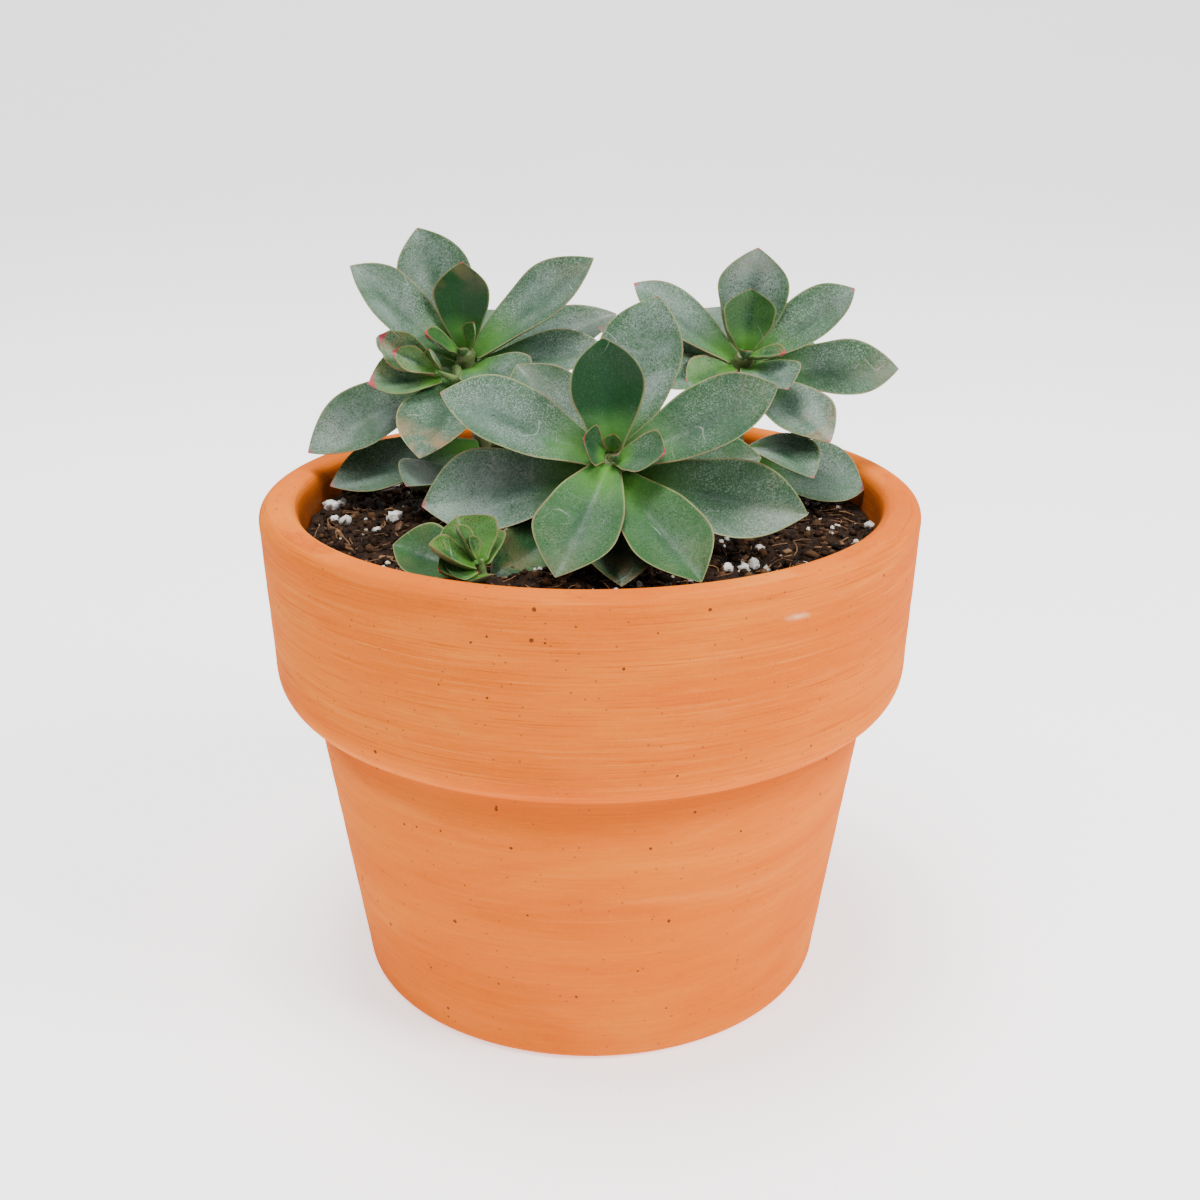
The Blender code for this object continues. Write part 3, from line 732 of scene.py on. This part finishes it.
def soil_height(x, y):
    """Height of the soil's uneven surface."""
    place = Vector((x, y, 0))
    share = min(1, (x * x + y * y) / inner_radius(SOIL_Z) ** 2)
    swell = noise.noise(place * 45) * 1.3 * MM
    lumps = noise.noise(place * 190 + Vector((7, 0, 0))) * 0.9 * MM
    crumb = noise.noise(place * 520 + Vector((0, 9, 0))) * 0.55 * MM
    heap = HEAP_HEIGHT * smoothstep(HEAP_FOOT, HEAP_TOP, hypot(x - HEAP_X, y - HEAP_Y))
    return SOIL_Z + SOIL_CROWN * (1 - share) + swell + lumps + crumb + heap


SOIL_SIDES = 160
SOIL_RINGS = 64


def make_soil(finish):
    bottom = FLOOR + GAP
    edge = inner_radius(SOIL_Z) - GAP
    soil = begin("potting_mix", "circle", vertices=SOIL_SIDES, radius=edge, location=(0, 0, SOIL_Z))
    for ring in range(SOIL_RINGS, 1, -1):
        share = (ring - 1) / ring
        extrude_ring((0, 0, 0), (share, share, 1), (0, 0, SOIL_Z))
    close_ring()
    select_where(soil, lambda co: abs(co.xy.length - edge) < SAME_RING)
    foot = inner_radius(bottom) - GAP
    extrude_ring((0, 0, bottom - SOIL_Z), (foot / edge, foot / edge, 1), (0, 0, bottom))
    close_ring()
    stop_editing()
    co = coordinates(soil.data)
    for i in np.flatnonzero(co[:, 2] > SOIL_Z - MM):
        co[i, 2] = soil_height(*co[i, :2])
    set_coordinates(soil.data, co)
    store(soil.data, "tone", 0.2)
    finished(soil, finish, "soil", "soil")


def lump_pattern(name, subdivisions, unevenness, seed):
    """A ball knocked out of round: faceted for a crumb of soil, rounder for a grain of perlite."""
    lump = begin(name, "ico_sphere", subdivisions=subdivisions, radius=1)
    bpy.ops.transform.vertex_random(offset=unevenness, seed=seed)
    stop_editing()
    return lump


def chip_pattern():
    """A chip of bark: a flat block, pinched at one end."""
    chip = begin("chip_pattern", "cube", size=2)
    bpy.ops.transform.resize(value=(1, 0.55, 0.28))
    bpy.ops.mesh.bevel(offset=0.10, segments=1, affect="EDGES")
    bpy.ops.transform.vertex_random(offset=0.08, seed=4)
    stop_editing()
    return chip


def strand_pattern():
    """A strand of coir: a thin four-sided rod, drawn out along X in six lengths."""
    across = (0, radians(90), 0)
    strand = begin("strand_pattern", "circle", vertices=4, radius=1, rotation=across, location=(-1, 0, 0))
    for step in range(6):
        extrude_ring((1 / 3, 0, 0), (1, 1, 1), (step / 3 - 2 / 3, 0, 0))
    for end in (-1, 1):
        select_ring(strand, 0, end)
        close_ring()
    stop_editing()
    return strand


# Where a copy of a pattern goes: its centre, turn, size along each axis, tone, and bend along its length
Copy = namedtuple("Copy", "centre turn size tone bend", defaults=[0.0])


def scatter(name, pattern, copies, finish):
    """One piece of many copies of a pattern, each sized, turned and set in its place."""
    points = coordinates(pattern.data)
    faces = np.array([tuple(face.vertices) for face in pattern.data.polygons], dtype=object)
    all_points, all_faces, tones = [], [], []
    for i, copy in enumerate(copies):
        shape = points.copy()
        shape[:, 1] += copy.bend * shape[:, 0] ** 2 / max(copy.size[1], 1e-9) * copy.size[0]
        shape = shape * np.array(copy.size)
        shape = shape @ np.array(copy.turn.to_matrix()).T + np.array(copy.centre)
        all_points.append(shape)
        all_faces.extend([tuple(v + i * len(points) for v in face) for face in faces])
        tones.append(np.full(len(points), copy.tone))
    mesh = bpy.data.meshes.new(name)
    mesh.from_pydata(np.concatenate(all_points).tolist(), [], all_faces)
    piece = bpy.data.objects.new(name, mesh)
    bpy.context.scene.collection.objects.link(piece)
    store(mesh, "tone", np.concatenate(tones))
    finished(piece, finish, "soil")
    bpy.data.objects.remove(pattern)


def on_soil(rng, reach=66):
    """A random place on the soil, the same all over, up to this many millimetres from the middle."""
    radius = reach * MM * rng.random() ** 0.5
    heading = rng.random() * 2 * pi
    x, y = radius * cos(heading), radius * sin(heading)
    return Vector((x, y, soil_height(x, y)))


def any_turn(rng):
    return Euler(tuple(rng.random(3) * 2 * pi))


def lying(rng, tilt):
    """A random heading, lying nearly flat."""
    return Euler((rng.normal() * tilt, rng.normal() * tilt, rng.random() * 2 * pi))


CRUMBS = 4200
STRANDS = 650
CHIPS = 110
SMALL_GRAINS = 170

# The smallest of each, and how much larger the largest is, in millimetres
CRUMB_SIZE, CRUMB_RANGE = 0.32, 1.15
STRAND_LENGTH, STRAND_LENGTH_RANGE = 1.4, 4.2
STRAND_WIDTH, STRAND_WIDTH_RANGE = 0.07, 0.09
CHIP_SIZE, CHIP_RANGE = 0.7, 1.1
GRAIN_SIZE, GRAIN_RANGE = 0.25, 0.55

# The larger perlite grains: place in millimetres, and radius
GRAINS = [
    (-65.0, 12.2, 1.5), (-63.4, 8.0, 2.1), (-61.4, 10.8, 1.6), (-61.5, -0.2, 1.3), (-58.5, -2.6, 1.7),
    (-50.0, -9.9, 1.6), (-46.5, -3.5, 2.2), (-42.6, -27.1, 1.4), (-39.1, -38.2, 1.2), (-37.0, -40.4, 1.5),
    (-34.6, -40.0, 1.1), (21.1, -46.4, 1.1), (29.4, -41.3, 1.7), (33.2, -40.2, 1.3), (35.4, -37.6, 1.5),
    (38.2, -38.4, 1.2), (46.9, -44.5, 1.5), (49.0, -46.8, 1.1), (38.0, -26.2, 1.2), (46.6, -34.7, 1.3),
    (65.4, -9.9, 1.4), (5.2, -43.1, 1.0), (10.4, -47.7, 1.1), (-30.0, 40.0, 1.7), (8.0, 50.0, 1.6),
    (48.0, 34.0, 1.8), (20.0, 58.0, 1.3), (-8.0, 60.0, 1.2), (60.0, 18.0, 1.4), (-50.0, 30.0, 1.5),
]


def make_soil_top(soil, fibre, perlite):
    rng = np.random.default_rng(11)
    crumbs = []
    for _ in range(CRUMBS):
        size = (CRUMB_SIZE + CRUMB_RANGE * rng.random() ** 3) * MM
        centre = on_soil(rng) + Vector((0, 0, size * 0.25))
        crumbs.append(Copy(centre, any_turn(rng), size * (0.7 + 0.6 * rng.random(3)), rng.random() ** 2))
    scatter("soil_crumbs", lump_pattern("crumb_pattern", 1, 0.35, 3), crumbs, soil)

    strands = []
    for _ in range(STRANDS):
        length = (STRAND_LENGTH + STRAND_LENGTH_RANGE * rng.random()) * MM
        width = (STRAND_WIDTH + STRAND_WIDTH_RANGE * rng.random()) * MM
        centre = on_soil(rng, 65) + Vector((0, 0, (0.4 + 0.7 * rng.random()) * MM))
        size = (length / 2, width, width)
        strands.append(Copy(centre, lying(rng, 0.22), size, rng.random(), rng.normal() * 0.45))
    scatter("coir_strands", strand_pattern(), strands, fibre)

    chips = []
    for _ in range(CHIPS):
        size = (CHIP_SIZE + CHIP_RANGE * rng.random() ** 2) * MM
        centre = on_soil(rng, 64) + Vector((0, 0, 0.4 * MM))
        chips.append(Copy(centre, lying(rng, 0.4), (size, size, size), rng.random() * 0.6))
    scatter("bark_chips", chip_pattern(), chips, fibre)

    grains = []
    for x, y, radius in np.array(GRAINS) * MM:
        centre = Vector((x, y, soil_height(x, y) + radius * 0.3))
        size = radius * (0.62 + 0.40 * rng.random(3))
        grains.append(Copy(centre, any_turn(rng), size, rng.random() * 0.25))
    for _ in range(SMALL_GRAINS):
        radius = (GRAIN_SIZE + GRAIN_RANGE * rng.random() ** 2) * MM
        centre = on_soil(rng, 65) + Vector((0, 0, radius * 0.5))
        grains.append(Copy(centre, any_turn(rng), radius * (0.8 + 0.4 * rng.random(3)), rng.random() ** 2))
    scatter("perlite_grains", lump_pattern("grain_pattern", 2, 0.55, 8), grains, perlite)


# ---------------------------------------------------------------- plant

LEAF_WIDEST = 0.64
SHOULDER_POWER = 2.1
FILLING_OUT = 0.75  # of the outline from the base to the widest place: a lower power widens sooner
BREADTH = 1.06  # of a finished leaf, against the plain solid that it stands for
LEAF_BASE_SHARE = 0.34
LEAF_THICKNESS = 0.085
LEAF_FOLD = 0.30
LEAF_BELLY = 0.72
YOUNG_LENGTH = 26


def outline(along):
    """Width of a leaf at a share of its length, from 0 to 1: narrow base, broad shoulder, pointed tip."""
    if along < LEAF_WIDEST:
        t = (along / LEAF_WIDEST) ** FILLING_OUT
        return LEAF_BASE_SHARE + (1 - LEAF_BASE_SHARE) * (3 - 2 * t) * t * t
    t = (along - LEAF_WIDEST) / (1 - LEAF_WIDEST)
    return 1 - t**SHOULDER_POWER


def fullness(along):
    """Thickness of a leaf at a share of its length: fleshy at the base, thin at the tip."""
    return (1 - 0.45 * along**2) * min(1, 1.9 * outline(along) + 0.05)


BLADE_SIDES = 16
BLADE_STATIONS = (0, 0.03, 0.10, 0.20, 0.31, 0.42, 0.52, 0.61, 0.69, 0.77, 0.84, 0.90, 0.945, 0.975, 0.993)


def blade_pattern():
    """A leaf of length 1 along Y, half width 1 and half thickness 1, drawn out from its base ring by ring."""
    blade = begin("blade_pattern", "circle", vertices=BLADE_SIDES, radius=1, rotation=(radians(90), 0, 0))
    bpy.ops.transform.resize(value=(outline(0), 1, fullness(0)))
    for place, following in zip(BLADE_STATIONS, BLADE_STATIONS[1:]):
        across = outline(following) / outline(place)
        deep = fullness(following) / fullness(place)
        extrude_ring((0, following - place, 0), (across, 1, deep), (0, following, 0))
    close_ring((0, 1 - BLADE_STATIONS[-1], 0))
    select_ring(blade, 1, 0)
    close_ring()
    stop_editing()
    smooth_over(blade, 2)
    co = coordinates(blade.data)
    co[:, 1] = (co[:, 1] - co[:, 1].min()) / np.ptp(co[:, 1])
    set_coordinates(blade.data, co)
    store(blade.data, "along", co[:, 1])
    half = ring_half_widths(co)
    store(blade.data, "half", half)
    store(blade.data, "across", co[:, 0] / half)
    store(blade.data, "upper", smoothstep(-0.15, 0.10, co[:, 2]))
    return blade


def ring_half_widths(co):
    """The half width, at each vertex, of the ring that it belongs to."""
    _, ring = np.unique(np.round(co[:, 1], 4), return_inverse=True)
    widest = np.zeros(ring.max() + 1)
    np.maximum.at(widest, ring, np.abs(co[:, 0]))
    return np.maximum(widest[ring], 1e-6)


def axis_matrix(shoot):
    """The rosette's frame: its origin at the crown and +Z along the stem, tilted by its lean."""
    turn = Matrix.Rotation(radians(shoot.lean_heading), 4, "Z")
    tilt = Matrix.Rotation(radians(shoot.lean), 4, "Y")
    return Matrix.Translation(Vector(shoot.crown) * MM) @ turn @ tilt @ turn.inverted()


def stem_radius_at(shoot, drop):
    """The stem's radius this far below its crown: it tapers over its last few millimetres."""
    share = min(1, drop / TAPER_LENGTH)
    return shoot.stem_radius * MM * (TIP_SHARE + (1 - TIP_SHARE) * share)


def leaf_place(shoot, leaf):
    return (
        axis_matrix(shoot)
        @ Matrix.Rotation(radians(leaf.heading - 90), 4, "Z")
        @ Matrix.Translation((0, stem_radius_at(shoot, leaf.drop) + LEAF_GAP, -leaf.drop * MM))
        @ Matrix.Rotation(radians(leaf.rise), 4, "X")
        @ Matrix.Rotation(radians(leaf.roll), 4, "Y")
    )


# How deeply a finished leaf is modelled, as shares of its length
HOLLOW_DEPTH = 0.014  # of the upper side, between its margins
GROOVE_DEPTH = 0.006  # along the middle of the upper side
KEEL_DEPTH = 0.014  # along the middle of the under side, near the tip
WAVE_HEIGHT = 0.0055  # of the margins
SWAY = 0.012  # of the midline, to one side

# The shortest leaves are plumper and broader than the long ones by these shares
SHORTEST = 8
PLUMPER = 0.8
BROADER = 0.22


def shape_blade(mesh, leaf, fold, place, rng):
    """Makes a copy of the pattern into this leaf: its fold, hollow, keel, waves and curl, in its place."""
    co = coordinates(mesh)
    along, across = stored(mesh, "along"), stored(mesh, "across")
    short = smoothstep(YOUNG_LENGTH, SHORTEST, leaf.length)
    half = leaf.width * MM / 2 * BREADTH * (1 + BROADER * short)
    length = leaf.length * MM
    x = co[:, 0] * half
    local = stored(mesh, "half") * half
    share = np.where(co[:, 2] > 0, 1 - LEAF_BELLY, LEAF_BELLY)
    thickness = share * length * LEAF_THICKNESS * (1 + PLUMPER * short)
    height = thickness * co[:, 2] * np.abs(co[:, 2]) ** 0.25
    height += fold * local * np.abs(across) ** 1.5
    hollow = (1 - across**2) * smoothstep(0.10, 0.45, along) * smoothstep(1.0, 0.70, along)
    height -= np.where(co[:, 2] > 0, HOLLOW_DEPTH * length * hollow, 0)
    groove = np.exp(-((across / 0.26) ** 2)) * smoothstep(0.85, 0.25, along)
    height -= np.where(co[:, 2] > 0, GROOVE_DEPTH * length * groove, 0)
    keel = np.exp(-((across / 0.30) ** 2)) * smoothstep(0.35, 0.80, along) * smoothstep(1.0, 0.85, along)
    height -= np.where(co[:, 2] < 0, KEEL_DEPTH * length * keel, 0)
    phase = rng.random(4) * 2 * pi
    wave = np.sin(along * 9 + phase[0]) * across + np.sin(along * 6 + phase[1]) * np.abs(across)
    waved = smoothstep(0.1, 0.6, along) * smoothstep(1.0, 0.8, along)
    height += WAVE_HEIGHT * length * wave * np.abs(across) * waved
    uneven = 0.018 * np.sin(along * 11 + phase[2])
    x = x * (1 + uneven + 0.012 * np.sin(along * 17 * np.sign(x) + phase[3]))
    x += length * SWAY * rng.normal() * np.sin(along * pi)
    bend = radians(leaf.curl) or 1e-6
    radius = length / bend
    angle = bend * along
    reach = radius - height
    points = np.stack([x, reach * np.sin(angle), radius - reach * np.cos(angle)], axis=1)
    set_coordinates(mesh, moved(points, place))
    to_tip = (1 - along) * length / MM
    store(mesh, "edge", np.minimum((1 - np.abs(across)) * local / MM, to_tip * 1.2))


def make_leaf(name, shoot, leaf, pattern, finishes, *nodes):
    rng = np.random.default_rng(sum(map(ord, name)))
    blade = copy_of(pattern, name)
    is_young = leaf.length < YOUNG_LENGTH
    look = LOOKS.get(name, YOUNG if is_young else GROWN)
    fold = LEAF_FOLD * (1 + 0.8 * look.young)
    shape_blade(blade.data, leaf, fold, leaf_place(shoot, leaf), rng)
    for quality, value in look._asdict().items():
        store(blade.data, quality, value)
    finish = finishes["waxy" if look.bloom >= WAXY_BLOOM else "green"]
    finished(blade, finish, "young_leaf" if is_young else "leaf", *nodes)


def make_rosette(name, shoot, pattern, finishes):
    for number, leaf in enumerate(shoot.leaves, start=1):
        node = f"{name}_leaf_{number:02d}"
        make_leaf(f"{name}_blade_{number:02d}", shoot, leaf, pattern, finishes, node)
    for number, leaf in enumerate(HEARTS.get(name, []), start=1):
        make_leaf(f"{name}_heart_{number:02d}", shoot, leaf, pattern, finishes)


# ---------------------------------------------------------------- stems

STEM_SIDES = 16
STEM_RINGS = 40
SCAR_EVERY = 3  # rings
SCAR_SWELL = 1.10
SLENDER = 2  # millimetres of radius: a thinner stem is young and green


def stem_pattern():
    """A stem of length 1 along Z and radius 1, with a swollen ring at every third step and a domed tip."""
    stem = begin("stem_pattern", "circle", vertices=STEM_SIDES, radius=1)
    size = 1
    for ring in range(1, STEM_RINGS + 1):
        new_size = SCAR_SWELL if ring % SCAR_EVERY == 0 else 1
        share = new_size / size
        extrude_ring((0, 0, 1 / STEM_RINGS), (share, share, 1), (0, 0, ring / STEM_RINGS))
        size = new_size
    for end in (0, 1):
        select_ring(stem, 2, end)
        close_ring()
    stop_editing()
    smooth_over(stem, 1)
    co = coordinates(stem.data)
    store(stem.data, "along", np.clip(co[:, 2], 0, 1))
    store(stem.data, "scar", smoothstep(1.03, 1.08, np.hypot(co[:, 0], co[:, 1])))
    return stem


def grows_from_soil(shoot):
    return len(shoot.root) == 2


def stem_stations(shoot):
    """Places, directions, handle lengths and radii along a stem, from its root to its tapered tip."""
    crown = Vector(shoot.crown) * MM
    up = Vector((0, 0, 1))
    axis = axis_matrix(shoot).to_3x3() @ up
    taper = TAPER_LENGTH * MM
    neck = crown - axis * taper
    tip = (crown, axis, taper / 3, TIP_SHARE)
    if not grows_from_soil(shoot):
        root = Vector(shoot.root) * MM
        reach = neck - root
        return [(root, reach.normalized(), reach.length / 3, 1), (neck, axis, taper / 3, 1), tip]
    root = Vector((shoot.root[0] * MM, shoot.root[1] * MM, SOIL_Z - STEM_BURIED))
    collar = root + up * (STEM_BURIED + SOIL_CROWN)
    reach = (neck - collar).length / 3
    return [(root, up, STEM_BURIED / 3, 1), (collar, up, reach, 1), (neck, axis, reach, 1), tip]


def stem_path(shoot, shares):
    """Points and radius shares along the stem's curve, for shares of its length in equal spans."""
    stations = stem_stations(shoot)
    spans = len(stations) - 1
    points, sizes = [], []
    for share in shares:
        span = min(int(share * spans), spans - 1)
        t = share * spans - span
        (a, way_a, reach_a, size_a), (b, way_b, reach_b, size_b) = stations[span], stations[span + 1]
        c, d = a + way_a * reach_a, b - way_b * reach_b
        u = 1 - t
        points.append(a * u**3 + c * (3 * u * u * t) + d * (3 * u * t * t) + b * t**3)
        sizes.append(size_a + (size_b - size_a) * t)
    return points, sizes


PATH_STEPS = 60


def make_stem(name, shoot, pattern, finish):
    stem = copy_of(pattern, f"{name}_stalk")
    co, along = coordinates(stem.data), stored(stem.data, "along")
    path, sizes = stem_path(shoot, np.linspace(0, 1, PATH_STEPS + 1))
    for i, (point, share) in enumerate(zip(co, along)):
        step = min(int(share * PATH_STEPS), PATH_STEPS - 1)
        t = share * PATH_STEPS - step
        centre = path[step].lerp(path[step + 1], t)
        way = (path[step + 1] - path[step]).normalized()
        side = way.cross(Vector((0, 1, 0))).normalized()
        front = side.cross(way)
        size = (sizes[step] * (1 - t) + sizes[step + 1] * t) * shoot.stem_radius * MM
        size *= 1 + 0.06 * noise.noise(centre * 300)
        co[i] = centre - (side * -point[0] + front * -point[1]) * size
    set_coordinates(stem.data, co)
    store(stem.data, "young", 0.8 if shoot.stem_radius < SLENDER else 0.35)
    finished(stem, finish, "stem", f"{name}_stem")


# ---------------------------------------------------------------- stage


def floor_finish():
    """A matt white sweep that is lit from below as well, as on a light table."""
    f = Finish("white_sweep", Specular_IOR_Level=0.1, Emission_Color=(1, 1, 1), Emission_Strength=1.15)
    paper = f.mix(f.ramp(f.cloud(6, 2), 0.3, 0.7), (0.93, 0.93, 0.93), (0.95, 0.95, 0.95))
    return f.finish(paper, f.ramp(f.cloud(9, 2), 0.3, 0.7, 0.75, 0.85), f.relief(f.cloud(300, 2), 0.01 * MM))


SWEEP_SIZE = 6
SWEEP_HEIGHT = 3
SWEEP_BEND = 1.4


def make_floor():
    floor = begin("white_sweep", "plane", size=SWEEP_SIZE, location=(0, 0, 0))
    select_ring(floor, 1, SWEEP_SIZE / 2)
    bpy.ops.mesh.extrude_edges_move(TRANSFORM_OT_translate={"value": (0, 0, SWEEP_HEIGHT)})
    bpy.ops.mesh.select_all(action="SELECT")
    bpy.ops.object.mode_set(mode="OBJECT")
    bend = floor.modifiers.new("Sweep", "BEVEL")
    bend.width = SWEEP_BEND
    bend.segments = 16
    bpy.ops.object.modifier_apply(modifier=bend.name)
    floor.data.shade_smooth()
    floor.data.materials.append(floor_finish())


# Square soft lights: place and width in metres, and power in watts
Light = namedtuple("Light", "name place width power")
LIGHTS = [
    Light("key", (1.10, -0.60, 1.10), 0.6, 28),
    Light("fill", (-0.40, -0.50, 1.60), 0.8, 14),
    Light("top", (-0.1, 0.0, 1.5), 0.5, 24),
]
SKY_STRENGTH = 0.40
PLANT_MIDDLE = Vector((0, 0, 0.1))


def add_light(name, place, width, power):
    """A square soft light that faces the middle of the plant."""
    data = bpy.data.lights.new(name, "AREA")
    data.size = width
    data.energy = power
    light = bpy.data.objects.new(name, data)
    light.location = place
    light.rotation_euler = (PLANT_MIDDLE - light.location).to_track_quat("-Z", "Y").to_euler()
    bpy.context.scene.collection.objects.link(light)


def light_the_scene():
    world = bpy.data.worlds.new("white_studio")
    world.use_nodes = True
    sky = world.node_tree.nodes["Background"]
    sky.inputs["Color"].default_value = (1, 1, 1, 1)
    sky.inputs["Strength"].default_value = SKY_STRENGTH
    bpy.context.scene.world = world
    for light in LIGHTS:
        add_light(*light)


CAMERA_PLACE = (0, -0.3526, 0.2223)
CAMERA_PITCH = 20.24
CAMERA_YAW = 0.374
CAMERA_LENS = 45.93


def add_camera():
    data = bpy.data.cameras.new("camera")
    data.lens = CAMERA_LENS
    data.sensor_width = 36
    data.clip_start = 0.01
    camera = bpy.data.objects.new("camera", data)
    camera.location = CAMERA_PLACE
    camera.rotation_euler = (radians(90 - CAMERA_PITCH), 0, -radians(CAMERA_YAW))
    bpy.context.scene.collection.objects.link(camera)
    bpy.context.scene.camera = camera


# ---------------------------------------------------------------- all of it


def main():
    add_camera()
    light_the_scene()
    make_floor()

    make_pot(clay_finish())
    soil = soil_finish()
    make_soil(soil)
    make_soil_top(soil, fibre_finish(), perlite_finish())

    pattern = blade_pattern()
    skins = {"waxy": leaf_finish("waxy_leaf", 0.28), "green": leaf_finish("green_leaf", 0.15)}
    for name, shoot in SHOOTS.items():
        make_rosette(name, shoot, pattern, skins)
    bpy.data.objects.remove(pattern)

    pattern = stem_pattern()
    bark = stem_finish()
    for name, shoot in SHOOTS.items():
        if shoot.root is not None:
            make_stem(name, shoot, pattern, bark)
    bpy.data.objects.remove(pattern)


main()

bpy.context.view_layer.update()
